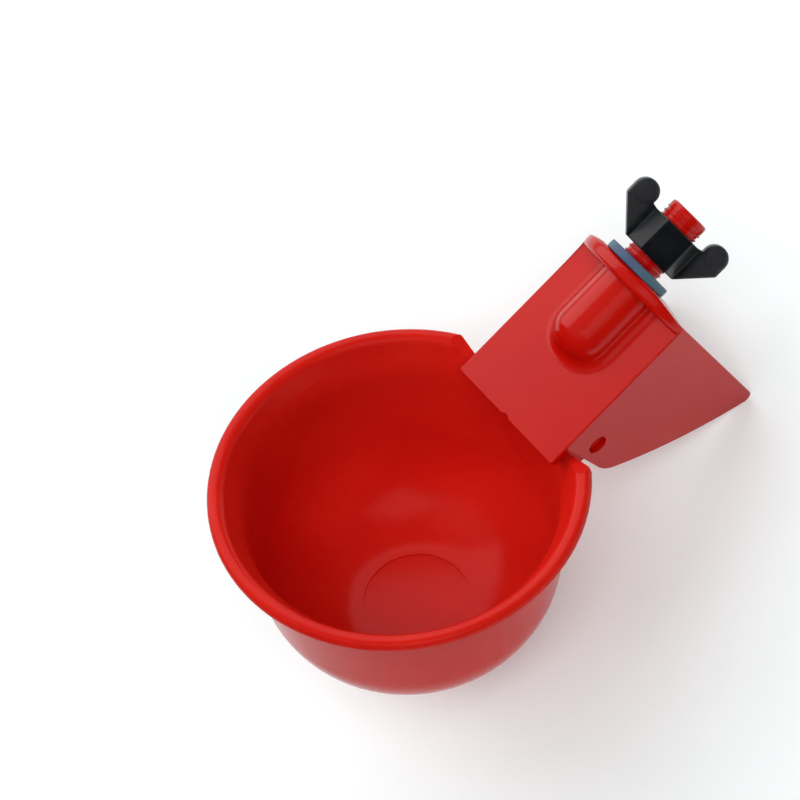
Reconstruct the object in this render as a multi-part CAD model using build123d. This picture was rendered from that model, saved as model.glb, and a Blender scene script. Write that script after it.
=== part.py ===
from build123d import *
import math
import os

# Poultry drinking cup that hangs on the wall of a water tank by a threaded spigot.
# Origin: on the spigot's axis, in the plane where the tank's wall seats on the washer.
# +X runs across the cup, +Y along the spigot into the tank, +Z up. Millimetres.

# Hood: roof, two side walls, sealing flange, water chamber and threaded spigot in one moulding
hood_width = 31.7
side_wall = 1.8
roof_thick = 1.8
roof_length = 39.0
roof_top_z = -3.85
roof_overhang = 4.4
flange_proud = 1.3
flange_thick = 3.4
flange_crest_z = 6.9
flange_foot = 5.2
flange_edge_round = 1.2
flange_flat_r = 9.0
flange_dome_r = 15.2
wall_drop = 43.0
wall_front_drop = 10.4
wall_front_lean = 1.6
wall_front_round = 8.0
wall_belly = 1.75
wall_tip_round = 1.6
roof_corner_round = 0.8
gate_width = 1.8
gate_depth = 0.45

# Spigot, plain at its thread's outer size
spigot_r = 4.75
spigot_reach = 15.0
spigot_end_round = 0.8
inlet_r = 2.3

# Water chamber on the roof, and the nozzle under it
chamber_r = 7.2
chamber_length = 22.2
chamber_end_round = 6.0
chamber_base_round = 2.8
nozzle_from_pivot = 15.5
nozzle_r = 2.6
nozzle_tip_round = 0.6
nozzle_drop = 3.6
nozzle_bore_r = 1.1
inlet_past_nozzle = 2.4

# Washer
washer_r = 7.8
washer_thick = 1.9
washer_bore_clearance = 0.06
washer_edge_round = 0.35

# Wing nut
nut_gap = 2.3
nut_height = 8.4
nut_corner_r = 7.2
nut_bore_clearance = 0.06
nut_edge = 0.4
nut_turn = 40.8
wing_thick = 2.8
wing_span_r = 13.0
wing_low = 0.4
wing_high = 6.6
wing_corner_cut = 1.6
lobe_r = 2.8
lobe_thick = 4.2
lobe_at_r = 10.2
lobe_at_y = 9.3
lobe_flank_r = 7.4

# Bowl, laid out level and then tilted up to its empty position
body_top_r = 35.2
body_taper = 2.8
body_corner_share = 0.6
bowl_depth = 45.9
bowl_wall = 1.5
lip_reach = 4.8
lip_thick = 2.0
lip_top_round = 1.5
lip_low_round = 0.4
lip_under_round = 4.3
lip_band = 3.0
lip_inner_round = 2.4
neck_depth = 6.6
neck_round = 12.0
rear_chord_share = 0.82
rear_corner_round = 2.2
rear_wall = 1.5
floor_disc_r = 11.5
floor_disc_step = 0.35
rear_dip = 3.0
rear_dip_edge = 0.3
hood_side_gap = 0.25
pivot_behind_bowl = 6.7
rim_above_pivot = 5.5
tilt_empty = 23.5

# Pivot and lever behind the bowl
pivot_behind_wall_front = 4.8
pivot_z = -12.45
pivot_hole_r = 2.2
pivot_clearance = 0.08
pin_recess = 1.3
cheek_thick = 1.8
cheek_side_gap = 0.5
cheek_round = 4.0
roof_stop_gap = 0.3
lever_thick = 2.2
lever_tail = 5.6
lever_tail_width = 12.6
lever_rib = 1.6
lever_rib_depth = 2.6

# Valve pad and return spring
pad_r = 3.3
pad_thick = 2.0
pad_recess = 0.6
pad_edge_round = 0.3
pad_clearance = 0.05
seat_gap = 0.15
spring_r = 4.35
spring_wire_r = 0.35
spring_turns = 6.0
spring_seat_gap = 0.12

# Places worked out from the sizes above
flange_face_y = -washer_thick
wall_edge_y = flange_face_y - flange_proud
roof_front_y = wall_edge_y - roof_length
roof_under_z = roof_top_z - roof_thick
half_width = hood_width / 2
wall_inner_x = half_width - side_wall
pivot_y = roof_front_y + roof_overhang + pivot_behind_wall_front
pin_r = pivot_hole_r - pivot_clearance
rim_r = body_top_r + lip_reach
body_corner_r = body_top_r * body_corner_share
body_slope = body_taper / (bowl_depth - body_corner_r)
rear_chord = rim_r * rear_chord_share
rear_wall_y = pivot_y - pivot_behind_bowl
rim_y = rear_wall_y - rear_chord
rim_z = pivot_z + rim_above_pivot
corner_x = math.sqrt(rim_r**2 - rear_chord**2)
rear_dip_start = corner_x - rear_dip_edge
rear_dip_end = half_width - hood_side_gap
nozzle_y = pivot_y + nozzle_from_pivot
nozzle_tip_z = roof_under_z - nozzle_drop
lever_top_z = nozzle_tip_z - seat_gap - pad_thick + pad_recess
pivot_axis = Axis((0, pivot_y, pivot_z), (1, 0, 0))
spigot_axis = Axis((0, 0, 0), (0, 1, 0))


def block(x0, x1, y0, y1, z0, z1):
    """Box between two corners."""
    middle = ((x0 + x1) / 2, (y0 + y1) / 2, (z0 + z1) / 2)
    return Pos(*middle) * Box(x1 - x0, y1 - y0, z1 - z0)


def along_y(x, z, radius, y0, y1):
    """Cylinder along the spigot's direction."""
    return Pos(x, (y0 + y1) / 2, z) * Rot(90, 0, 0) * Cylinder(radius, y1 - y0)


def upright(x, y, radius, z0, z1):
    """Cylinder that stands upright."""
    return Pos(x, y, (z0 + z1) / 2) * Cylinder(radius, z1 - z0)


def across(y, z, radius, x0, x1):
    """Cylinder across the cup."""
    return Pos((x0 + x1) / 2, y, z) * Rot(0, 90, 0) * Cylinder(radius, x1 - x0)


def side_outline():
    """Outline of one side wall in the plane across the cup."""
    front_y = roof_front_y + roof_overhang
    corner = (front_y + wall_front_lean, roof_top_z - wall_front_drop - wall_front_round)
    tip = (wall_edge_y, roof_top_z - wall_drop)
    slant = math.hypot(tip[0] - corner[0], tip[1] - corner[1])
    normal = ((tip[1] - corner[1]) / slant, -(tip[0] - corner[0]) / slant)
    middle = ((corner[0] + tip[0]) / 2 + wall_belly * normal[0], (corner[1] + tip[1]) / 2 + wall_belly * normal[1])
    edges = Polyline(corner, (front_y, roof_top_z), (wall_edge_y, roof_top_z), tip)
    belly = ThreePointArc(tip, middle, corner)
    outline = make_face(Curve() + [edges, belly])
    front_corner = outline.vertices().sort_by_distance((*corner, 0))[0]
    outline = fillet(front_corner, wall_front_round)
    tip_corner = outline.vertices().sort_by_distance((*tip, 0))[0]
    return Plane.YZ * fillet(tip_corner, wall_tip_round)


def make_side_walls():
    """Two side walls with their pivot holes."""
    wall = extrude(side_outline(), side_wall)
    hole = across(pivot_y, pivot_z, pivot_hole_r, -half_width - 1, half_width + 1)
    left = Pos(-half_width, 0, 0) * wall
    right = Pos(wall_inner_x, 0, 0) * wall
    return left + right - hole


def make_roof():
    """Flat roof plate with its gate mark at the front edge."""
    plate = block(-half_width, half_width, roof_front_y, wall_edge_y, roof_under_z, roof_top_z)
    corners = plate.edges().filter_by(Axis.Z).group_by(Axis.Y)[0]
    plate = fillet(corners, roof_corner_round)
    gate = upright(0, roof_front_y - gate_width + gate_depth, gate_width, roof_under_z - 1, roof_top_z + 1)
    return plate - gate


def make_flange():
    """Arched plate behind the roof that backs the washer."""
    foot_z = roof_top_z - flange_foot
    crown = ThreePointArc((-half_width, roof_top_z), (0, flange_crest_z), (half_width, roof_top_z))
    legs = Polyline((half_width, roof_top_z), (half_width, foot_z), (-half_width, foot_z), (-half_width, roof_top_z))
    outline = Plane.XZ * make_face(Curve() + [crown, legs])
    plate = Pos(0, flange_face_y, 0) * extrude(outline, flange_thick)
    crown_edges = plate.edges().filter_by(GeomType.CIRCLE)
    plate = fillet(crown_edges, flange_edge_round)
    front_y = flange_face_y - flange_thick
    profile = Polyline(
        (0, front_y),
        (0, flange_face_y),
        (flange_flat_r, flange_face_y),
        (flange_dome_r, wall_edge_y),
        (hood_width, wall_edge_y),
        (hood_width, front_y),
        close=True,
    )
    return plate & revolve(make_face(profile), Axis.Y)


def make_chamber():
    """Half-round water chamber on the roof, rounded at its front end."""
    front_y = wall_edge_y + flange_proud - chamber_length
    drum = along_y(0, roof_top_z, chamber_r, front_y, flange_face_y - flange_edge_round)
    upper = block(-chamber_r, chamber_r, front_y, 0, roof_top_z, roof_top_z + chamber_r)
    half = drum & upper
    nose = half.edges().filter_by(GeomType.CIRCLE).group_by(Axis.Y)[0]
    return fillet(nose, chamber_end_round)


def make_hood():
    """Hood, chamber, flange and spigot as one moulding."""
    roof = make_roof() + make_chamber()
    foot = roof.edges().filter_by(Plane.XY).filter_by_position(Axis.Z, roof_top_z - 0.01, roof_top_z + 0.01)
    inside_plate = [e for e in foot if abs(e.center().X) < chamber_r + 0.1 and e.center().Y > roof_front_y + 1]
    inside_plate = [e for e in inside_plate if e.center().Y < wall_edge_y - 0.1]
    roof = fillet(inside_plate, chamber_base_round)
    hood = roof + make_side_walls() + make_flange()
    spigot = along_y(0, 0, spigot_r, flange_face_y - 1, spigot_reach)
    tip = spigot.edges().filter_by(GeomType.CIRCLE).group_by(Axis.Y)[-1]
    hood += fillet(tip, spigot_end_round)
    nozzle = upright(0, nozzle_y, nozzle_r, nozzle_tip_z, roof_under_z + 0.5)
    tip = nozzle.edges().filter_by(GeomType.CIRCLE).group_by(Axis.Z)[0]
    hood += fillet(tip, nozzle_tip_round)
    hood -= along_y(0, 0, inlet_r, nozzle_y - inlet_past_nozzle, spigot_reach + 1)
    return hood - upright(0, nozzle_y, nozzle_bore_r, nozzle_tip_z - 1, 0)


def plan_outline(chord, corner_round):
    """Bowl's outline from above: a circle cut off flat behind, with rounded corners."""
    disc = Circle(rim_r + 1) & Pos(0, chord - rim_r - 2) * Rectangle(4 * rim_r, 2 * rim_r + 4)
    corners = disc.vertices().group_by(Axis.Y)[-1]
    return fillet(corners, corner_round)


def rounded(section, rounds):
    """Section with some of its corners rounded, given as pairs of corner and radius."""
    for point, radius in rounds:
        corner = section.vertices().sort_by_distance((*point, 0))[0]
        section = fillet(corner, radius)
    return section


def bowl_outside():
    """Solid within the bowl's outer surface, turned about its own axis."""
    heel = (body_top_r - body_slope * (bowl_depth - lip_thick), -bowl_depth)
    under = (body_top_r, -lip_thick)
    edge = (rim_r, -lip_thick)
    section = make_face(Polyline((0, 0), (0, -bowl_depth), heel, under, edge, (rim_r, 0), close=True))
    rounds = ((heel, body_corner_r), (under, lip_under_round), (edge, lip_low_round), ((rim_r, 0), lip_top_round))
    return revolve(Plane.XZ * rounded(section, rounds), Axis.Z)


def bowl_inside():
    """Space inside the bowl, with a neck that widens to the lip's band."""
    floor_z = -bowl_depth + bowl_wall
    neck = (body_top_r - body_slope * (neck_depth - lip_thick) - bowl_wall, -neck_depth)
    heel = (neck[0] - body_slope * (neck[1] - floor_z), floor_z)
    edge = (rim_r - lip_band, 0)
    section = make_face(Polyline((0, 1), (0, floor_z), heel, neck, edge, (rim_r + 1, 0), (rim_r + 1, 1), close=True))
    rounds = ((heel, body_corner_r - bowl_wall), (neck, neck_round), (edge, lip_inner_round))
    return revolve(Plane.XZ * rounded(section, rounds), Axis.Z)


def lever_parts():
    """Lever, cheeks and pivot pins behind the bowl, laid out level in the cup's frame."""
    outer_x = wall_inner_x - cheek_side_gap
    inner_x = outer_x - cheek_thick
    front_y = rear_wall_y - rear_wall
    turn = math.radians(tilt_empty)
    stop_y = -cheek_round
    stop_z = (roof_under_z - roof_stop_gap - pivot_z + stop_y * math.sin(turn)) / math.cos(turn)
    outline = Polyline(
        (front_y - cheek_round, rim_z - rear_dip),
        (rear_wall_y, rim_z - rear_dip),
        (pivot_y + stop_y, pivot_z + stop_z),
        (pivot_y + cheek_round, pivot_z + cheek_round),
        (pivot_y + cheek_round, pivot_z - cheek_round),
        (front_y - cheek_round, pivot_z - 2 * cheek_round),
        close=True,
    )
    cheek = extrude(Plane.YZ * make_face(outline), cheek_thick)
    parts = Pos(inner_x, 0, 0) * cheek + Pos(-outer_x, 0, 0) * cheek
    tail_y = nozzle_y + lever_tail
    arm_y = nozzle_y - lever_tail
    half_tail = lever_tail_width / 2
    plan = Polyline(
        (-inner_x, front_y),
        (-inner_x, pivot_y + cheek_round),
        (-half_tail, arm_y),
        (-half_tail, tail_y),
        (half_tail, tail_y),
        (half_tail, arm_y),
        (inner_x, pivot_y + cheek_round),
        (inner_x, front_y),
        close=True,
    )
    arm = Pos(0, 0, lever_top_z - lever_thick) * extrude(make_face(plan), lever_thick)
    arm = fillet(arm.edges().filter_by(Axis.Z).group_by(Axis.Y)[-1], lever_tail_width / 4)
    parts += arm
    rib_low = lever_top_z - lever_thick - lever_rib_depth
    parts += block(-lever_rib / 2, lever_rib / 2, front_y, arm_y, rib_low, lever_top_z - lever_thick)
    for side in (-1, 1):
        ends = sorted((side * inner_x, side * (half_width - pin_recess)))
        pin = across(pivot_y, pivot_z, pin_r, *ends)
        tip = pin.edges().filter_by(GeomType.CIRCLE).sort_by(Axis.X)[-1 if side > 0 else 0]
        parts += chamfer(tip, 2 * pivot_clearance)
    return parts


def rear_dip_cut():
    """Wedge that lowers the rear wall's top edge between the two corners."""
    outline = Polyline(
        (-rear_dip_start, 0.01),
        (-rear_dip_end, -rear_dip),
        (rear_dip_end, -rear_dip),
        (rear_dip_start, 0.01),
        (rear_dip_start, 2),
        (-rear_dip_start, 2),
        close=True,
    )
    wedge = extrude(Plane.XZ * make_face(outline), 2 * rim_r, both=True)
    keep_front = block(-rim_r, rim_r, -2 * rim_r, rear_chord - 3 * bowl_wall, -bowl_depth, rim_r)
    keep_back = block(-rim_r, rim_r, rear_chord + 0.01, 3 * rim_r, -bowl_depth, rim_r)
    return wedge - keep_front - keep_back


def make_bowl():
    """Bowl, lip, rear wall, lever and pivot pins as one moulding, tilted up as when it is empty."""
    top = extrude(plan_outline(rear_chord, rear_corner_round), 1)
    bottom = extrude(plan_outline(rear_chord, rear_corner_round), -bowl_depth - 1)
    outside = bowl_outside() & (top + bottom)
    room = block(-2 * rim_r, 2 * rim_r, -2 * rim_r, rear_chord - rear_wall, -bowl_depth - 1, 2)
    cavity = bowl_inside() & room
    cavity += upright(0, 0, floor_disc_r, -bowl_depth + bowl_wall - floor_disc_step, -bowl_depth / 2)
    place = Pos(0, rim_y, rim_z)
    bowl = place * (outside - rear_dip_cut()) + lever_parts()
    bowl -= place * cavity
    bowl -= upright(0, nozzle_y, pad_r + pad_clearance, lever_top_z - pad_recess, lever_top_z + 1)
    bowl = bowl.rotate(pivot_axis, -tilt_empty)
    side_x = half_width + roof_stop_gap
    return bowl - block(-side_x, side_x, roof_front_y - roof_stop_gap, 0, roof_under_z - roof_stop_gap, rim_r)


def make_washer():
    """Flat sealing washer between the flange and the tank's wall."""
    ring = along_y(0, 0, washer_r, -washer_thick, 0)
    ring = fillet(ring.edges().filter_by(GeomType.CIRCLE), washer_edge_round)
    return ring - along_y(0, 0, spigot_r + washer_bore_clearance, -washer_thick - 1, 1)


def wing_blade():
    """One wing of the nut, drawn with its radius along X and its height along Y."""
    low_y = nut_gap + wing_low
    high_y = nut_gap + wing_high
    lobe_y = nut_gap + lobe_at_y
    root = nut_corner_r - 2
    web = Polyline(
        (root, low_y),
        (nut_corner_r, low_y),
        (wing_span_r, high_y),
        (wing_span_r, high_y + wing_corner_cut),
        (lobe_at_r + lobe_r * math.sin(math.pi / 4), lobe_y + lobe_r * math.sin(math.pi / 4)),
        (lobe_at_r, lobe_y),
        (lobe_flank_r, nut_gap + nut_height),
        (root, nut_gap + nut_height),
        close=True,
    )
    blade = extrude(make_face(web), wing_thick / 2, both=True)
    lobe = Pos(lobe_at_r, lobe_y, 0) * Cylinder(lobe_r, lobe_thick)
    lobe = fillet(lobe.edges().filter_by(GeomType.CIRCLE), lobe_thick / 4)
    return blade + lobe


def make_wing_nut():
    """Hexagonal hub with two wings that rise from opposite corners."""
    prism = extrude(Plane.XZ * RegularPolygon(nut_corner_r, 6), -nut_height)
    hub = Pos(0, nut_gap, 0) * prism
    rims = hub.edges().group_by(Axis.Y)
    hub = chamfer(rims[0] + rims[-1], nut_edge)
    blade = wing_blade()
    nut = hub + blade + blade.rotate(spigot_axis, 180)
    nut -= along_y(0, 0, spigot_r + nut_bore_clearance, nut_gap - 1, nut_gap + nut_height + 1)
    return nut.rotate(spigot_axis, nut_turn)


def make_pad():
    """Rubber pad in the lever's pocket that closes the nozzle."""
    low_z = lever_top_z - pad_recess
    pad = upright(0, nozzle_y, pad_r, low_z, low_z + pad_thick)
    pad = fillet(pad.edges().filter_by(GeomType.CIRCLE).group_by(Axis.Z)[-1], pad_edge_round)
    return pad.rotate(pivot_axis, -tilt_empty)


def make_spring():
    """Compression spring around the nozzle, between the roof and the lever."""
    turn = math.radians(tilt_empty)
    ahead = nozzle_y - pivot_y
    above = lever_top_z - pivot_z
    seat_y = pivot_y + ahead * math.cos(turn) + above * math.sin(turn)
    seat_z = pivot_z - ahead * math.sin(turn) + above * math.cos(turn)
    lean = math.atan2(nozzle_y - seat_y, roof_under_z - seat_z)
    span = math.hypot(nozzle_y - seat_y, roof_under_z - seat_z)
    low_end = (spring_r + spring_wire_r) * math.tan(turn - lean) + spring_wire_r + spring_seat_gap
    high_end = (spring_r + spring_wire_r) * math.tan(lean) + spring_wire_r + spring_seat_gap
    height = span - low_end - high_end
    coil = Helix(pitch=height / spring_turns, height=height, radius=spring_r)
    wire = sweep((coil ^ 0) * Circle(spring_wire_r), path=coil, is_frenet=True)
    stand = Pos(0, 0, low_end) * wire
    return Pos(0, seat_y, seat_z) * Rot(-math.degrees(lean), 0, 0) * stand


PARTS = {
    "hood": make_hood,
    "bowl": make_bowl,
    "sealing_washer": make_washer,
    "wing_nut": make_wing_nut,
    "valve_pad": make_pad,
    "return_spring": make_spring,
}


def main():
    """Writes one STEP file for each piece."""
    os.makedirs("parts", exist_ok=True)
    for name, make in PARTS.items():
        export_step(make(), os.path.join("parts", name + ".step"))


main()
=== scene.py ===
"""Looks of a hinged drinking cup for poultry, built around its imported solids.

The cup hangs on a tank's wall by a threaded spigot. The hood's solid gets a real thread, the
wing nut its moulded wings and the spring its coil, and every surface gets its finish.
Lengths are in metres, in the frame of the solids. NEAR is how close a corner lies to the place that picks it,
HAIR is the width of a cut, and PAST is how far a cutter reaches beyond what it cuts.
"""

from __future__ import annotations

import contextlib
import logging
import math
from dataclasses import dataclass, field
from enum import Enum
from typing import Any, Callable, Iterator, Sequence

import bmesh
import bpy
from mathutils import Matrix, Vector

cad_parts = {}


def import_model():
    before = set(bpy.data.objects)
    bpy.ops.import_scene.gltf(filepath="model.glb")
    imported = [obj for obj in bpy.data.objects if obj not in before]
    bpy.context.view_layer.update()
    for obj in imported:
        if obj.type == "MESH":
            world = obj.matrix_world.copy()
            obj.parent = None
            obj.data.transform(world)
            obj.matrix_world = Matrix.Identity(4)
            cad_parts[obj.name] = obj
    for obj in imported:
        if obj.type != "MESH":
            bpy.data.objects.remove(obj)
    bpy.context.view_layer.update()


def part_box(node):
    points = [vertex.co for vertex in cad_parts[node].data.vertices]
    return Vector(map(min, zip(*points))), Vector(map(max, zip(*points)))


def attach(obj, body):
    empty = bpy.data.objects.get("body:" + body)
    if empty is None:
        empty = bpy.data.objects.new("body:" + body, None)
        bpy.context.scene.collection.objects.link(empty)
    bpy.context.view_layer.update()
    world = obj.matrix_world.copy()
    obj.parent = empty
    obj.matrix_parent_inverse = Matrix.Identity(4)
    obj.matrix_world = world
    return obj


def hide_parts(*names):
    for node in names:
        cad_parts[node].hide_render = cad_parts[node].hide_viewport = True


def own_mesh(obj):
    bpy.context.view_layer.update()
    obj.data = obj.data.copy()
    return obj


LOG = logging.getLogger("drinking_cup")
MM = 0.001
NEAR = 1e-6
HAIR = 1e-7
PAST = 1 * MM

Colour = tuple[float, float, float]
Point = tuple[float, float, float]
Spot = tuple[float, float]


class Body(Enum):
    """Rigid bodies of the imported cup."""

    HOOD = "hood_body"
    BOWL = "bowl_body"
    NUT = "nut_body"


class Slot(Enum):
    """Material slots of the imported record."""

    HOOD = "hood_plastic"
    BOWL = "bowl_plastic"
    WASHER = "washer_rubber"
    NUT = "nut_plastic"
    PAD = "pad_rubber"
    SPRING = "spring_steel"


class Value:
    """A number on its way through a material's nodes, with the usual arithmetic."""

    def __init__(self, net: "Net", socket: bpy.types.NodeSocket) -> None:
        """Wraps one output socket.

        Args:
            net: The node net that the socket belongs to.
            socket: The output socket that carries the number.
        """
        self.net = net
        self.socket = socket

    def _with(self, operation: str, first: Any, second: Any) -> "Value":
        """Adds one Math node and returns its result."""
        return self.net.math(operation, first, second)

    def __add__(self, other: Any) -> "Value":
        """Sum."""
        return self._with("ADD", self, other)

    def __radd__(self, other: Any) -> "Value":
        """Sum, with the number first."""
        return self._with("ADD", other, self)

    def __sub__(self, other: Any) -> "Value":
        """Difference."""
        return self._with("SUBTRACT", self, other)

    def __rsub__(self, other: Any) -> "Value":
        """Difference, with the number first."""
        return self._with("SUBTRACT", other, self)

    def __mul__(self, other: Any) -> "Value":
        """Product."""
        return self._with("MULTIPLY", self, other)

    def __rmul__(self, other: Any) -> "Value":
        """Product, with the number first."""
        return self._with("MULTIPLY", other, self)

    def __pow__(self, other: Any) -> "Value":
        """Power."""
        return self._with("POWER", self, other)

    def clamped(self, low: float, high: float) -> "Value":
        """The number kept between two limits."""
        return self._with("MINIMUM", self._with("MAXIMUM", self, low), high)

    def band(self, start: float, end: float) -> "Value":
        """Smooth step: 0 at start and 1 at end.

        Args:
            start: Where the step begins.
            end: Where it ends; it may lie below start.

        Returns:
            The step's height.
        """
        node = self.net.node(
            "ShaderNodeMapRange",
            {"interpolation_type": "SMOOTHSTEP"},
            {"Value": self, "From Min": start, "From Max": end},
        )
        return Value(self.net, node.outputs["Result"])


class Net:
    """A material's node net that ends in one Principled shader."""

    def __init__(self, name: str) -> None:
        """Starts an empty material.

        Args:
            name: The material's name.
        """
        self.material = bpy.data.materials.new(name)
        self.material.use_nodes = True
        self.tree = self.material.node_tree
        self.tree.nodes.clear()
        self.output = self.tree.nodes.new("ShaderNodeOutputMaterial")
        self.place = self.node("ShaderNodeTexCoord").outputs["Object"]

    def node(self, kind: str, settings: dict | None = None, inputs: dict | None = None) -> bpy.types.Node:
        """Adds a node.

        Args:
            kind: The node's type.
            settings: Its own settings, which are set first.
            inputs: Values or links of its sockets, by name or by number.

        Returns:
            The new node.
        """
        made = self.tree.nodes.new(kind)
        for key, value in (settings or {}).items():
            setattr(made, key, value)
        for key, value in (inputs or {}).items():
            self.feed(made.inputs[key], value)
        return made

    def feed(self, socket: bpy.types.NodeSocket, value: Any) -> None:
        """Links a value to a socket, or writes a plain number or colour on it.

        Args:
            socket: The input socket.
            value: A value, another node's output socket, a number or a colour.
        """
        if isinstance(value, Value):
            self.tree.links.new(value.socket, socket)
        elif isinstance(value, bpy.types.NodeSocket):
            self.tree.links.new(value, socket)
        elif isinstance(value, tuple) and len(value) == 3 and socket.type == "RGBA":
            socket.default_value = (*value, 1.0)
        else:
            socket.default_value = value

    def math(self, operation: str, first: Any, second: Any = 0.0) -> Value:
        """Adds a Math node of that operation."""
        made = self.node("ShaderNodeMath", {"operation": operation}, {0: first, 1: second})
        return Value(self, made.outputs[0])

    def axis(self, name: str) -> Value:
        """One coordinate of the surface point, X, Y or Z, in the cup's frame."""
        split = self.node("ShaderNodeSeparateXYZ", None, {0: self.place})
        return Value(self, split.outputs[name])

    def noise(
        self, scale: float, detail: float = 3.0, rough: float = 0.5, stretch: Point = (1, 1, 1)
    ) -> Value:
        """Soft noise on the object's own coordinates.

        Args:
            scale: Features per metre.
            detail: Octaves.
            rough: Share of the finer octaves.
            stretch: Scale along each axis.

        Returns:
            A number around 0.5.
        """
        spot = self.node("ShaderNodeMapping", None, {"Vector": self.place, "Scale": stretch}).outputs[0]
        inputs = {"Vector": spot, "Scale": scale, "Detail": detail, "Roughness": rough}
        made = self.node("ShaderNodeTexNoise", None, inputs)
        return Value(self, made.outputs["Fac"])

    def blend(self, share: Any, first: Any, second: Any) -> bpy.types.NodeSocket:
        """Mixes two colours by a share of the second."""
        made = self.node("ShaderNodeMix", {"data_type": "RGBA"}, {0: share, 6: first, 7: second})
        return made.outputs[2]

    def bump(
        self, height: Value, strength: float, depth: float, over: bpy.types.NodeSocket | None = None
    ) -> bpy.types.NodeSocket:
        """Turns a height into a surface direction.

        Args:
            height: The height, in units of depth.
            strength: How much of it shows.
            depth: The height's unit, in metres.
            over: Another bump's result that this one lies on.

        Returns:
            The surface direction.
        """
        inputs = {"Height": height, "Strength": strength, "Distance": depth}
        if over is not None:
            inputs["Normal"] = over
        return self.node("ShaderNodeBump", None, inputs).outputs[0]

    def shader(self, **sockets: Any) -> bpy.types.Material:
        """Ends the net in a Principled shader.

        Args:
            **sockets: Values of its sockets, with underscores for spaces.

        Returns:
            The finished material.
        """
        inputs = {key.replace("_", " "): value for key, value in sockets.items()}
        made = self.node("ShaderNodeBsdfPrincipled", None, inputs)
        self.tree.links.new(made.outputs[0], self.output.inputs["Surface"])
        return self.material


@dataclass(frozen=True)
class RedPlastic:
    """Red moulded plastic with a satin gloss.

    drift, mottle, flow and skin are its patterns, and each has its scale in features per metre.
    """

    name: str
    deep: Colour = (0.52, 0.0030, 0.0010)
    bright: Colour = (0.57, 0.0060, 0.0016)
    roughness: float = 0.19
    gloss: float = 0.32
    refraction: float = 1.49
    drift_scale: float = 45.0
    mottle_scale: float = 420.0
    flow_scale: float = 130.0
    flow_stretch: Point = (1.0, 0.18, 1.0)
    flow_depth: float = 0.10 * MM
    skin_scale: float = 1500.0
    skin_depth: float = 0.02 * MM

    def make(self) -> bpy.types.Material:
        """Builds the material.

        Returns:
            The plastic's material.
        """
        net = Net(self.name)
        drift = net.noise(self.drift_scale, 2.0)
        mottle = net.noise(self.mottle_scale, 3.0, 0.6)
        flow = net.noise(self.flow_scale, 2.0, 0.5, self.flow_stretch)
        colour = net.blend((drift * 0.8 + mottle * 0.2).band(0.3, 0.7), self.deep, self.bright)
        satin = self.roughness + (mottle - 0.5) * 0.05 + (flow - 0.5) * 0.04
        skin = net.bump(net.noise(self.skin_scale, 2.0), 0.10, self.skin_depth)
        waves = net.bump(flow, 0.16, self.flow_depth, skin)
        return net.shader(
            Base_Color=colour, Roughness=satin, Specular_IOR_Level=self.gloss, Normal=waves, IOR=self.refraction
        )


@dataclass(frozen=True)
class WasherRubber:
    """Blue-grey rubber with a dull skin."""

    name: str = "washer_rubber"
    slate: Colour = (0.072, 0.148, 0.200)
    blue: Colour = (0.060, 0.100, 0.190)
    bloom: Colour = (0.16, 0.22, 0.28)
    roughness: float = 0.52
    refraction: float = 1.5
    radius: float = 7.8 * MM
    bloom_scale: float = 900.0
    skin_scale: float = 2600.0
    skin_depth: float = 0.03 * MM

    def make(self) -> bpy.types.Material:
        """Builds the material, blue in the middle and slate at the sides, with a pale bloom in spots.

        Returns:
            The rubber's material.
        """
        net = Net(self.name)
        middle = net.math("ABSOLUTE", net.axis("X") * (1 / self.radius))
        colour = net.blend(middle.band(0.2, 0.9), self.blue, self.slate)
        dust = net.noise(self.bloom_scale, 3.0, 0.6)
        pale = net.blend(dust.band(0.62, 0.8) * 0.25, colour, self.bloom)
        satin = self.roughness + (dust - 0.5) * 0.15
        skin = net.bump(net.noise(self.skin_scale, 2.0), 0.25, self.skin_depth)
        return net.shader(Base_Color=pale, Roughness=satin, Normal=skin, IOR=self.refraction)


@dataclass(frozen=True)
class BlackPlastic:
    """Black moulded plastic, satin, with a faint grain, and a painted sheen that makes the wings paler.

    The painted sheen on the wings starts and ends at two distances from the spigot's axis, and its drift is how
    far these wander.
    """

    name: str = "nut_plastic"
    black: Colour = (0.003, 0.0035, 0.005)
    grey: Colour = (0.006, 0.007, 0.009)
    # Paler grey of the painted sheen on the wings.
    painted_sheen: Colour = (0.024, 0.025, 0.028)
    roughness: float = 0.36
    gloss: float = 0.35
    refraction: float = 1.5
    sheen_from: float = 6.9 * MM
    sheen_to: float = 8.6 * MM
    sheen_drift: float = 2 * MM
    drift_scale: float = 220.0
    grain_scale: float = 3200.0
    grain_depth: float = 0.02 * MM

    def make(self) -> bpy.types.Material:
        """Builds the material.

        Returns:
            The plastic's material.
        """
        net = Net(self.name)
        drift = net.noise(self.drift_scale, 3.0)
        grain = net.noise(self.grain_scale, 2.0)
        colour = net.blend(drift.band(0.35, 0.7), self.black, self.grey)
        # Painted sheen: away from the spigot's axis the wings turn paler, standing in for their brighter
        # reflection.
        reach = (net.axis("X") * net.axis("X") + net.axis("Z") * net.axis("Z")) ** 0.5
        sheen_mask = (reach + (drift - 0.5) * self.sheen_drift).band(self.sheen_from, self.sheen_to)
        colour = net.blend(sheen_mask, colour, self.painted_sheen)
        skin = net.bump(grain, 0.22, self.grain_depth)
        satin = self.roughness + (drift - 0.5) * 0.14
        return net.shader(
            Base_Color=colour, Roughness=satin, Specular_IOR_Level=self.gloss, Normal=skin, IOR=self.refraction
        )


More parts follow.
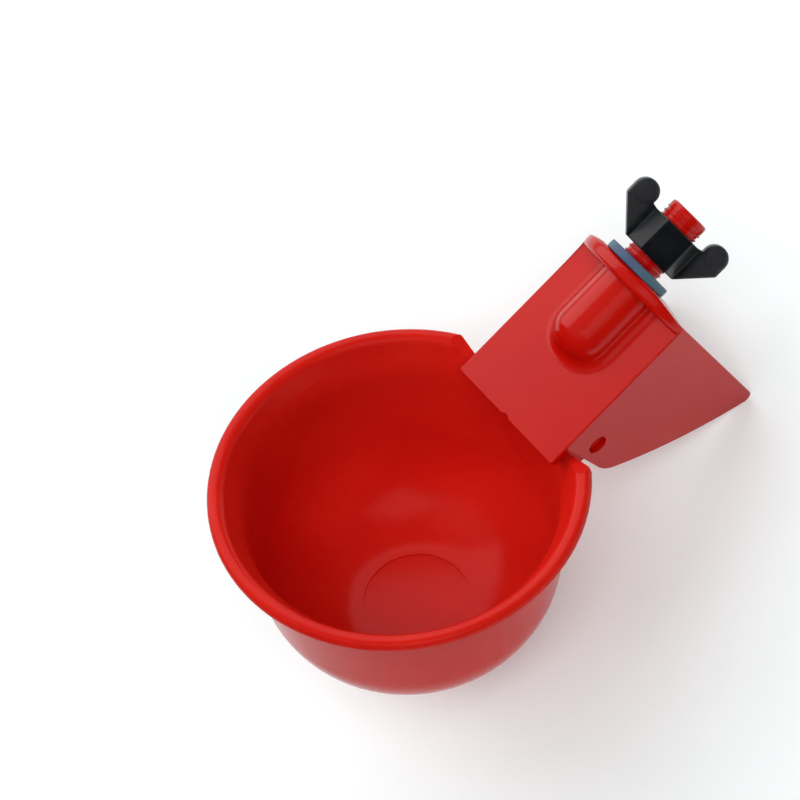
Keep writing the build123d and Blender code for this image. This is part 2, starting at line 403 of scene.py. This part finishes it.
@dataclass(frozen=True)
class PadRubber:
    """Black rubber of the valve pad."""

    name: str = "pad_rubber"
    black: Colour = (0.014, 0.014, 0.015)
    grey: Colour = (0.030, 0.030, 0.032)
    roughness: float = 0.62
    drift_scale: float = 500.0
    skin_scale: float = 2400.0
    skin_depth: float = 0.03 * MM

    def make(self) -> bpy.types.Material:
        """Builds the material.

        Returns:
            The rubber's material.
        """
        net = Net(self.name)
        drift = net.noise(self.drift_scale, 3.0)
        colour = net.blend(drift.band(0.3, 0.7), self.black, self.grey)
        skin = net.bump(net.noise(self.skin_scale, 3.0), 0.3, self.skin_depth)
        return net.shader(Base_Color=colour, Roughness=self.roughness + (drift - 0.5) * 0.2, Normal=skin)


@dataclass(frozen=True)
class SpringSteel:
    """Drawn stainless wire."""

    name: str = "spring_steel"
    dull: Colour = (0.50, 0.50, 0.49)
    bright: Colour = (0.66, 0.66, 0.64)
    roughness: float = 0.27
    drift_scale: float = 900.0
    skin_scale: float = 5200.0
    skin_depth: float = 0.01 * MM

    def make(self) -> bpy.types.Material:
        """Builds the material.

        Returns:
            The steel's material.
        """
        net = Net(self.name)
        drift = net.noise(self.drift_scale, 3.0)
        colour = net.blend(drift.band(0.3, 0.7), self.dull, self.bright)
        satin = self.roughness + (drift - 0.5) * 0.2
        skin = net.bump(net.noise(self.skin_scale, 2.0), 0.15, self.skin_depth)
        return net.shader(Base_Color=colour, Metallic=1.0, Roughness=satin, Normal=skin)


class Part:
    """One mesh under way, shaped with Blender's own operators."""

    def __init__(self, obj: bpy.types.Object, name: str) -> None:
        """Takes over an object.

        Args:
            obj: The mesh object.
            name: Its piece name.
        """
        self.obj = obj
        obj.name = name
        obj.data.name = name

    @staticmethod
    def put_down() -> None:
        """Leaves edit mode and deselects everything."""
        if bpy.context.object is not None and bpy.context.object.mode != "OBJECT":
            bpy.ops.object.mode_set(mode="OBJECT")
        bpy.ops.object.select_all(action="DESELECT")

    @classmethod
    def cylinder(
        cls, name: str, radius: float, low: float, high: float, sides: int = 96, turn: float = 0.0
    ) -> "Part":
        """Upright cylinder around the Z axis.

        Args:
            name: Piece name.
            radius: Radius of its corners.
            low: Height of its foot.
            high: Height of its top.
            sides: Number of sides.
            turn: Turn about its axis, in radians.

        Returns:
            The new part.
        """
        cls.put_down()
        middle = (0, 0, (low + high) / 2)
        bpy.ops.mesh.primitive_cylinder_add(
            vertices=sides, radius=radius, depth=high - low, location=middle, rotation=(0, 0, turn)
        )
        return cls(bpy.context.object, name).settled()

    @classmethod
    def block(cls, name: str, low: Point, high: Point) -> "Part":
        """Box between two corners.

        Args:
            name: Piece name.
            low: The corner with the lowest coordinates.
            high: The corner with the highest.

        Returns:
            The new part.
        """
        cls.put_down()
        middle = [(a + b) / 2 for a, b in zip(low, high)]
        bpy.ops.mesh.primitive_cube_add(size=1.0, location=middle)
        bpy.context.object.scale = [b - a for a, b in zip(low, high)]
        return cls(bpy.context.object, name).settled()

    @classmethod
    def of_node(cls, name: str, node: str) -> "Part":
        """Merged copy of a solid's mesh.

        Args:
            name: Piece name.
            node: The solid's node.

        Returns:
            The new part, whose doubled corners are joined.
        """
        cls.put_down()
        source = bpy.data.objects[node]
        obj = bpy.data.objects.new(name, source.data.copy())
        bpy.context.scene.collection.objects.link(obj)
        part = cls(obj, name)
        part.obj.data.materials.clear()
        with part.editing("VERT"):
            bpy.ops.mesh.select_all(action="SELECT")
            bpy.ops.mesh.remove_doubles(threshold=0.002 * MM)
        return part

    def settled(self) -> "Part":
        """Puts the object's place, turn and scale into its mesh.

        Returns:
            This part.
        """
        self._activate()
        bpy.ops.object.transform_apply(location=True, rotation=True, scale=True)
        return self

    def _activate(self) -> None:
        """Selects only this part's object."""
        self.put_down()
        self.obj.select_set(True)
        bpy.context.view_layer.objects.active = self.obj

    @contextlib.contextmanager
    def editing(self, mode: str = "FACE") -> Iterator[None]:
        """Edit mode with nothing selected.

        Args:
            mode: VERT, EDGE or FACE.

        Yields:
            Nothing.
        """
        self._activate()
        bpy.ops.object.mode_set(mode="EDIT")
        bpy.ops.mesh.select_mode(type=mode)
        bpy.ops.mesh.select_all(action="DESELECT")
        yield
        bpy.ops.object.mode_set(mode="OBJECT")

    def pick(self, kind: str, test: Callable[[Any], bool]) -> int:
        """Selects faces, edges or verts that pass a test, in edit mode.

        Args:
            kind: faces, edges or verts.
            test: Takes the element and says whether it is wanted.

        Returns:
            How many were picked.
        """
        shape = bmesh.from_edit_mesh(self.obj.data)
        found = [e for e in getattr(shape, kind) if test(e)]
        for element in found:
            element.select_set(True)
        bmesh.update_edit_mesh(self.obj.data)
        return len(found)

    def trim(self, point: Point, away: Point) -> "Part":
        """Cuts off what lies beyond a plane and closes the cut.

        Args:
            point: A point of the plane.
            away: The direction of what is cut off.

        Returns:
            This part.
        """
        with self.editing():
            bpy.ops.mesh.select_all(action="SELECT")
            bpy.ops.mesh.bisect(plane_co=point, plane_no=away, use_fill=True, clear_outer=True, threshold=HAIR)
        return self

    def round_edges(self, width: float, segments: int, test: Callable[[Any], bool]) -> "Part":
        """Bevels the edges that pass a test.

        Args:
            width: How far the bevel reaches on each side.
            segments: Faces across it.
            test: Takes an edge and says whether it is wanted.

        Returns:
            This part.
        """
        with self.editing("EDGE"):
            if self.pick("edges", test):
                bpy.ops.mesh.bevel(
                    offset=width, offset_type="OFFSET", segments=segments, profile=0.5, affect="EDGES"
                )
        return self

    def modify(self, kind: str, **settings: Any) -> "Part":
        """Adds a modifier and applies it.

        Args:
            kind: The modifier's type.
            **settings: Its settings.

        Returns:
            This part.
        """
        self._activate()
        made = self.obj.modifiers.new(kind.lower(), kind)
        for key, value in settings.items():
            setattr(made, key, value)
        bpy.ops.object.modifier_apply(modifier=made.name)
        return self

    def combine(self, other: "Part", operation: str) -> "Part":
        """Joins another part on, or cuts it out.

        Args:
            other: The other part, which is used up.
            operation: UNION or DIFFERENCE.

        Returns:
            This part.
        """
        self.modify("BOOLEAN", object=other.obj, operation=operation, solver="MANIFOLD")
        bpy.data.objects.remove(other.obj, do_unlink=True)
        return self

    def joined(self, *others: "Part") -> "Part":
        """Takes other parts into this mesh as they are.

        Args:
            *others: The other parts, which are used up.

        Returns:
            This part.
        """
        self._activate()
        for other in others:
            other.obj.select_set(True)
        bpy.ops.object.join()
        return self

    def copy(self, name: str) -> "Part":
        """A copy with its own mesh.

        Args:
            name: The copy's piece name.

        Returns:
            The copy.
        """
        self._activate()
        bpy.ops.object.duplicate()
        return Part(bpy.context.object, name)

    def moved(self, matrix: Matrix) -> "Part":
        """Moves and turns the mesh itself.

        Args:
            matrix: The move and turn.

        Returns:
            This part.
        """
        self.obj.matrix_world = matrix
        bpy.context.view_layer.update()
        return self.settled()

    def outward(self) -> "Part":
        """Makes all faces point outwards.

        Returns:
            This part.
        """
        with self.editing("FACE"):
            bpy.ops.mesh.select_all(action="SELECT")
            bpy.ops.mesh.normals_make_consistent(inside=False)
        return self

    def hulled(self) -> "Part":
        """Replaces the mesh by its convex hull.

        Returns:
            This part.
        """
        with self.editing("VERT"):
            bpy.ops.mesh.select_all(action="SELECT")
            bpy.ops.mesh.convex_hull()
        return self

    def wound(self, rise: float, turns: int, steps: int) -> "Part":
        """Winds a flat outline into a helix around Z and closes its two ends.

        Args:
            rise: Rise of one turn.
            turns: Number of turns.
            steps: Sections in one turn.

        Returns:
            This part.
        """
        sections = {"steps": steps, "render_steps": steps}
        self.modify("SCREW", axis="Z", angle=math.tau, screw_offset=rise, iterations=turns, **sections)
        with self.editing("EDGE"):
            bpy.ops.mesh.select_non_manifold()
            bpy.ops.mesh.edge_face_add()
        return self

    def smoothed(self, degrees: float) -> "Part":
        """Smooth shading up to an angle between faces.

        Args:
            degrees: The angle past which an edge stays sharp.

        Returns:
            This part.
        """
        self._activate()
        bpy.ops.object.shade_smooth_by_angle(angle=math.radians(degrees))
        return self

    def dressed(
        self, body: Body, slot: Slot, finish: bpy.types.Material, stands_for: Sequence[str] = ()
    ) -> "Part":
        """Gives the piece its finish and its body.

        Args:
            body: The body it rides on.
            slot: The record's slot; not used.
            finish: Its material.
            stands_for: Nodes that it replaces.

        Returns:
            This part.
        """
        self.obj.data.materials.clear()
        self.obj.data.materials.append(finish)
        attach(self.obj, body.value)
        if stands_for:
            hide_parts(*stands_for)
        LOG.info("%s: %d faces on %s", self.obj.name, len(self.obj.data.polygons), body.value)
        return self


def repaint(node: str, finish: bpy.types.Material) -> None:
    """Gives a solid that stays its finish.

    Args:
        node: The solid's node.
        finish: Its material.
    """
    obj = bpy.data.objects[node]
    for place in obj.material_slots:
        place.material = finish
    LOG.info("%s: %s", node, finish.name)


@dataclass
class Spigot:
    """Threaded end that passes the tank's wall.

    sunk is how deep the thread's ridge lies in the core, and foot_half and crest_half are half its widths.
    """

    root: float = 4.45 * MM
    crest: float = 4.74 * MM
    pitch: float = 1.15 * MM
    start: float = -1.5 * MM
    turns: int = 12
    thread_end: float = 13.9 * MM
    tip: float = 14.8 * MM
    tip_radius: float = 4.6 * MM
    tip_round: float = 0.6 * MM
    collar_edge: float = 0.12 * MM
    bore: float = 2.3 * MM
    mouth_edge: float = 0.3 * MM
    crest_half: float = 0.12 * MM
    foot_half: float = 0.42 * MM
    sunk: float = 0.2 * MM
    steps: int = 48

    def on_tip(self, edge: bmesh.types.BMEdge) -> bool:
        """Whether an edge lies on the spigot's end face."""
        return all(v.co.z > self.tip - NEAR for v in edge.verts)

    def on_mouth(self, edge: bmesh.types.BMEdge) -> bool:
        """Whether an edge lies on the rim of the inlet's bore."""
        return self.on_tip(edge) and all(v.co.xy.length < self.bore + 10 * NEAR for v in edge.verts)

    def core(self) -> Part:
        """Plain core with its bore and rounded tip.

        Returns:
            The core, upright.
        """
        low = self.thread_end - self.pitch
        core = Part.cylinder("spigot_core", self.root, self.start, self.thread_end, 96)
        tip = Part.cylinder("spigot_tip", self.tip_radius, low, self.tip, 96)
        tip.round_edges(self.tip_round, 6, self.on_tip)
        tip.round_edges(self.collar_edge, 2, lambda e: all(abs(v.co.z - low) < NEAR for v in e.verts))
        core.combine(tip, "UNION")
        core.combine(Part.cylinder("inlet", self.bore, self.start - PAST, self.tip + PAST, 64), "DIFFERENCE")
        return core.round_edges(self.mouth_edge, 3, self.on_mouth)

    def thread(self) -> Part:
        """Helical ridge around the core, thinner at its crest.

        Returns:
            The ridge, upright.
        """
        Part.put_down()
        middle = (self.root + self.crest) / 2 - self.sunk / 2
        low = self.thread_end - self.foot_half - self.turns * self.pitch
        bpy.ops.mesh.primitive_plane_add(size=1.0, location=(middle, 0, low), rotation=(math.pi / 2, 0, 0))
        ridge = Part(bpy.context.object, "thread")
        ridge.obj.scale = (self.crest - self.root + self.sunk, 2 * self.foot_half, 1.0)
        ridge.settled()
        with ridge.editing("VERT"):
            ridge.pick("verts", lambda v: v.co.x > middle)
            narrow = (1, 1, self.crest_half / self.foot_half)
            bpy.ops.transform.resize(value=narrow, center_override=(middle, 0, low))
        return ridge.wound(self.pitch, self.turns, self.steps).outward()

    def make(self) -> Part:
        """The whole spigot, laid along +Y.

        Returns:
            Core and thread in one mesh.
        """
        lie = Matrix.Rotation(-math.pi / 2, 4, "X")
        core = self.core().smoothed(35)
        thread = self.thread().smoothed(30)
        return core.joined(thread).moved(lie)


@dataclass
class Hood:
    """Roof, side walls, chamber and flange, with the threaded spigot.

    seam_y is where the solid's plain spigot is cut off, inside the flange. flat_deg is the angle under which
    the copy's faces are merged, and crease_deg the one past which an edge stays sharp.
    """

    plastic: bpy.types.Material
    seam_y: float = -1.0 * MM
    half_width: float = 15.85 * MM
    roof_top: float = -3.85 * MM
    roof_edge: float = 0.35 * MM
    roof_slack: float = 0.02 * MM
    flat_deg: float = 0.3
    crease_deg: float = 28
    spigot: Spigot = field(default_factory=Spigot)

    def on_roof_side(self, edge: bmesh.types.BMEdge) -> bool:
        """Whether an edge is one of the long outer edges of the roof.

        Args:
            edge: The edge.

        Returns:
            True where both its ends lie there.
        """
        aside = max(abs(abs(v.co.x) - self.half_width) for v in edge.verts)
        above = max(abs(v.co.z - self.roof_top) for v in edge.verts)
        return aside < self.roof_slack and above < self.roof_slack

    def shell(self) -> Part:
        """Copy of the hood's solid without its plain spigot.

        Returns:
            The shell, closed where the spigot was.
        """
        shell = Part.of_node("hood_shell", "hood")
        with shell.editing("EDGE"):
            bpy.ops.mesh.select_all(action="SELECT")
            bpy.ops.mesh.bisect(
                plane_co=(0, self.seam_y, 0), plane_no=(0, 1, 0), clear_outer=True, threshold=HAIR
            )
            bpy.ops.mesh.select_all(action="DESELECT")
            shell.pick("edges", lambda e: e.is_boundary)
            bpy.ops.mesh.bridge_edge_loops()
            bpy.ops.mesh.select_all(action="SELECT")
            bpy.ops.mesh.dissolve_limited(angle_limit=math.radians(self.flat_deg))
        shell.round_edges(self.roof_edge, 4, self.on_roof_side)
        return shell.smoothed(self.crease_deg).modify("WEIGHTED_NORMAL", keep_sharp=True, weight=60)

    def build(self) -> None:
        """Makes the hood."""
        shell = self.shell()
        shell.joined(self.spigot.make())
        shell.dressed(Body.HOOD, Slot.HOOD, self.plastic, ["hood"])


@dataclass
class WingNut:
    """Hexagonal nut with two wings that rise from opposite corners.

    web, lobe_at and heel_at give radius and height in millimetres. pillow gives the discs that dome the ear,
    each as how much smaller and how much thicker it is, in millimetres too.
    """

    plastic: bpy.types.Material
    gap: float = 2.3 * MM
    turn_deg: float = 40.8
    corner: float = 7.2 * MM
    height: float = 8.4 * MM
    bore: float = 4.81 * MM
    edge: float = 0.35 * MM
    web_half: float = 1.15 * MM
    web_rise: float = 0.30 * MM
    web_edge: float = 0.45 * MM
    web: tuple[Spot, ...] = ((5.2, 0.3), (6.95, 0.3), (12.95, 6.6), (13.0, 8.1), (11.6, 9.6), (5.2, 8.2))
    plate_reach: float = 20 * MM
    lobe_at: Spot = (10.15, 9.4)
    lobe_r: float = 2.85 * MM
    lobe_half: float = 1.1 * MM
    lobe_sides: int = 48
    pillow: tuple[Spot, ...] = ((0.14, 0.25), (0.40, 0.45), (0.85, 0.62), (1.50, 0.72))
    heel_at: Spot = (11.75, 7.95)
    heel_r: float = 1.25 * MM
    heel_share: float = 0.85
    voxel: float = 0.18 * MM

    def plate(self, name: str, outline: Sequence[Spot], half: float) -> Part:
        """Flat plate in the wing's plane.

        Args:
            name: Part name.
            outline: Its corners as radius and height in millimetres, turning left.
            half: Half its thickness.

        Returns:
            The plate.
        """
        reach = self.plate_reach
        plate = Part.block(name, (0, -half, -reach), (reach, half, reach))
        corners = [Vector((r * MM, 0, h * MM)) for r, h in outline]
        for here, there in zip(corners, corners[1:] + corners[:1]):
            along = there - here
            plate.trim(here, (along.z, 0, -along.x))
        return plate

    def lobe(self) -> Part:
        """Thick rounded ear at the wing's end, down to its heel.

        Returns:
            The ear, in its place on the wing.
        """
        ear = self.disc("ear", self.lobe_at, self.lobe_r, self.lobe_half, self.lobe_sides)
        heel = self.disc("heel", self.heel_at, self.heel_r, self.lobe_half * self.heel_share, 32)
        ear.joined(heel).hulled()
        for inwards, outwards in self.pillow:
            radius, half = self.lobe_r - inwards * MM, self.lobe_half + outwards * MM
            ear.joined(self.disc("dome", self.lobe_at, radius, half, self.lobe_sides))
        return ear.hulled()

    def disc(self, name: str, at: Spot, radius: float, half: float, sides: int) -> Part:
        """Round disc in the wing's plane.

        Args:
            name: Part name.
            at: Its centre as radius and height in millimetres.
            radius: Its own radius.
            half: Half its thickness.
            sides: Number of sides.

        Returns:
            The disc.
        """
        place = Matrix.Translation((at[0] * MM, 0, at[1] * MM)) @ Matrix.Rotation(math.pi / 2, 4, "X")
        return Part.cylinder(name, radius, -half, half, sides).moved(place)

    def wing(self) -> Part:
        """One wing: a web with a wide sloping edge, and its ear.

        Returns:
            The wing that rises over +X.
        """
        web = self.plate("web", self.web, self.web_half)
        with web.editing("FACE"):
            web.pick("faces", lambda f: abs(f.normal.y) > 0.9)
            bpy.ops.mesh.inset(thickness=self.web_edge, depth=self.web_rise, use_individual=True)
        return web.combine(self.lobe(), "UNION")

    def build(self) -> None:
        """Makes the nut."""
        nut = Part.cylinder("wing_nut_moulding", self.corner, 0, self.height, 6, math.pi / 6)
        nut.round_edges(self.edge, 2, lambda e: True)
        wing = self.wing()
        other = wing.copy("other_wing").moved(Matrix.Rotation(math.pi, 4, "Z"))
        nut.combine(wing, "UNION")
        nut.combine(other, "UNION")
        nut.combine(Part.cylinder("bore", self.bore, -PAST, self.height + PAST, 72), "DIFFERENCE")
        nut.modify("REMESH", mode="VOXEL", voxel_size=self.voxel, use_smooth_shade=True)
        nut.modify("SMOOTH", factor=0.5, iterations=3)
        turn = Matrix.Rotation(math.radians(self.turn_deg), 4, "Y")
        lie = Matrix.Rotation(-math.pi / 2, 4, "X")
        nut.moved(turn @ Matrix.Translation((0, self.gap, 0)) @ lie).outward()
        nut.dressed(Body.NUT, Slot.NUT, self.plastic, ["wing_nut"])


@dataclass
class ReturnSpring:
    """Coil spring around the nozzle, between the roof and the lever.

    low_room and high_room are what the wire's middle keeps from the ends of its solid, and keep, which is not
    used, is the share of its height that is left when the bowl has swung down.
    """

    steel: bpy.types.Material
    radius: float = 4.35 * MM
    wire: float = 0.35 * MM
    turns: int = 6
    steps: int = 40
    low_room: float = 1.2 * MM
    high_room: float = 0.6 * MM
    joint: str = "bowl_tilt"
    roof_under: float = -5.65 * MM
    nozzle_y: float = -17.5 * MM
    keep: float = 0.5

    def build(self) -> None:
        """Makes the spring in the place of its solid."""
        low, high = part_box("return_spring")
        seat = Vector((0, (low.y + high.y) / 2, low.z + self.low_room))
        top = Vector((0, self.nozzle_y, high.z - self.high_room))
        span = top - seat
        Part.put_down()
        bpy.ops.mesh.primitive_circle_add(
            vertices=12, radius=self.wire, location=(self.radius, 0, 0), rotation=(math.pi / 2, 0, 0)
        )
        coil = Part(bpy.context.object, "spring_coil").settled()
        coil.wound(span.length / self.turns, self.turns, self.steps)
        lean = Vector((0, 0, 1)).rotation_difference(span).to_matrix().to_4x4()
        coil.moved(Matrix.Translation(seat) @ lean).outward().smoothed(50)
        coil.dressed(Body.HOOD, Slot.SPRING, self.steel, ["return_spring"])
        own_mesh(coil.obj)


@dataclass(frozen=True)
class SoftLamp:
    """A soft rectangular lamp that looks at the cup.

    turn_deg is counted from -X towards +Y and rise_deg from the floor. reach is its distance from the cup, and
    mirrored says whether gloss shows it.
    """

    name: str
    turn_deg: float
    rise_deg: float
    reach: float
    width: float
    height: float
    radiance: float
    mirrored: bool = True


@dataclass
class Studio:
    """Pale floor, soft lamps and the camera.

    right, up and back are the camera's own axes. The sky is white at the horizon and falls to the strength
    ceiling where a unit direction has the height dusk.
    """

    eye: Point = (0.4621, 0.00445, 0.8112)
    right: Point = (0.59130008, 0.69905529, -0.40210187)
    up: Point = (-0.62575702, 0.71223689, 0.31803579)
    back: Point = (0.50871639, 0.06356349, 0.85858449)
    lens: float = 202.5
    sensor: float = 36.0
    near_and_far: tuple[float, float] = (0.01, 50.0)
    aim: Point = (0, -0.05, -0.01)
    floor_z: float = -0.0461
    floor_side: float = 6.0
    floor_tones: tuple[Colour, Colour] = ((0.86, 0.93, 0.93), (0.88, 0.95, 0.95))
    floor_glow: float = 0.17
    ceiling: float = 0.05
    dusk: float = 0.08
    lamps: tuple[SoftLamp, ...] = (
        SoftLamp("key", 15, 37, 1.2, 2.0, 1.15, 1.75),
        SoftLamp("overhead", -60, 70, 1.4, 1.3, 1.3, 1.3, mirrored=False),
        SoftLamp("front", 172.8, 59, 1.5, 0.9, 0.9, 4.2, mirrored=False),
    )

    def camera(self) -> None:
        """Sets up the camera."""
        data = bpy.data.cameras.new("camera")
        data.lens = self.lens
        data.sensor_width = self.sensor
        data.clip_start, data.clip_end = self.near_and_far
        camera = bpy.data.objects.new("camera", data)
        turn = Matrix((self.right, self.up, self.back)).transposed().to_4x4()
        camera.matrix_world = Matrix.Translation(self.eye) @ turn
        bpy.context.scene.collection.objects.link(camera)
        bpy.context.scene.camera = camera

    def lamp(self, soft: SoftLamp) -> None:
        """Adds a soft lamp.

        Args:
            soft: Its place, size and strength.
        """
        data = bpy.data.lights.new(soft.name, "AREA")
        data.shape = "RECTANGLE"
        data.size = soft.width
        data.size_y = soft.height
        data.energy = soft.radiance * math.pi * soft.width * soft.height
        lamp = bpy.data.objects.new(soft.name, data)
        turn, rise = math.radians(soft.turn_deg), math.radians(soft.rise_deg)
        way = Vector((-math.cos(turn) * math.cos(rise), math.sin(turn) * math.cos(rise), math.sin(rise)))
        lamp.location = Vector(self.aim) + way * soft.reach
        lamp.rotation_euler = (-way).to_track_quat("-Z", "Y").to_euler()
        lamp.visible_glossy = soft.mirrored
        bpy.context.scene.collection.objects.link(lamp)

    def sky(self) -> None:
        """Dim overhead and white near the horizon, as in a white room with a dark ceiling."""
        world = bpy.data.worlds.new("studio")
        bpy.context.scene.world = world
        world.use_nodes = True
        tree = world.node_tree
        tree.nodes.clear()
        place = tree.nodes.new("ShaderNodeTexCoord")
        split = tree.nodes.new("ShaderNodeSeparateXYZ")
        fall = tree.nodes.new("ShaderNodeMapRange")
        soft = tree.nodes.new("ShaderNodeBackground")
        out = tree.nodes.new("ShaderNodeOutputWorld")
        fall.interpolation_type = "SMOOTHSTEP"
        limits = {"From Min": 0.0, "From Max": self.dusk, "To Min": 1.0, "To Max": self.ceiling}
        for key, value in limits.items():
            fall.inputs[key].default_value = value
        soft.inputs["Color"].default_value = (1, 1, 1, 1)
        tree.links.new(place.outputs["Generated"], split.inputs[0])
        tree.links.new(split.outputs["Z"], fall.inputs["Value"])
        tree.links.new(fall.outputs["Result"], soft.inputs["Strength"])
        tree.links.new(soft.outputs[0], out.inputs["Surface"])

    def floor(self) -> None:
        """Adds the pale floor under the cup."""
        Part.put_down()
        bpy.ops.mesh.primitive_plane_add(size=self.floor_side, location=(0, 0, self.floor_z))
        floor = Part(bpy.context.object, "floor").settled()
        net = Net("floor_paper")
        tone = net.blend(net.noise(30.0, 2.0).band(0.3, 0.7), *self.floor_tones)
        rays = net.node("ShaderNodeLightPath").outputs
        seen = Value(net, rays["Is Camera Ray"]) + rays["Is Glossy Ray"] + rays["Is Transmission Ray"]
        glow = net.blend(seen.clamped(0.0, 1.0), (0.0, 0.0, 0.0), (self.floor_glow,) * 3)
        paper = net.shader(
            Base_Color=tone, Roughness=0.9, Specular_IOR_Level=0.0, Emission_Color=glow, Emission_Strength=1.0
        )
        floor.obj.data.materials.append(paper)

    def build(self) -> None:
        """Sets up the whole studio."""
        self.camera()
        self.sky()
        self.floor()
        for soft in self.lamps:
            self.lamp(soft)
        bpy.context.scene.view_settings.view_transform = "Standard"


def corners(box: tuple[Vector, Vector]) -> list[list[float]]:
    """A box's two corners as plain lists of numbers."""
    return [[float(c) for c in corner] for corner in box]


def main() -> None:
    """Builds the cup's looks around its solids and reports each piece."""
    logging.basicConfig(level=logging.INFO, format="%(name)s: %(message)s")
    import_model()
    Studio().build()
    Hood(RedPlastic("hood_plastic").make()).build()
    # The bowl's red is a brighter, paler copy of the hood's red plastic: painted light that lifts the bowl's
    # inside.
    bowl_red_lit = RedPlastic("bowl_plastic", (0.62, 0.010, 0.006), (0.68, 0.015, 0.008), gloss=0.13)
    repaint("bowl", bowl_red_lit.make())
    repaint("sealing_washer", WasherRubber().make())
    WingNut(BlackPlastic().make()).build()
    repaint("valve_pad", PadRubber().make())
    ReturnSpring(SpringSteel().make()).build()


if __name__ == "__main__":
    main()
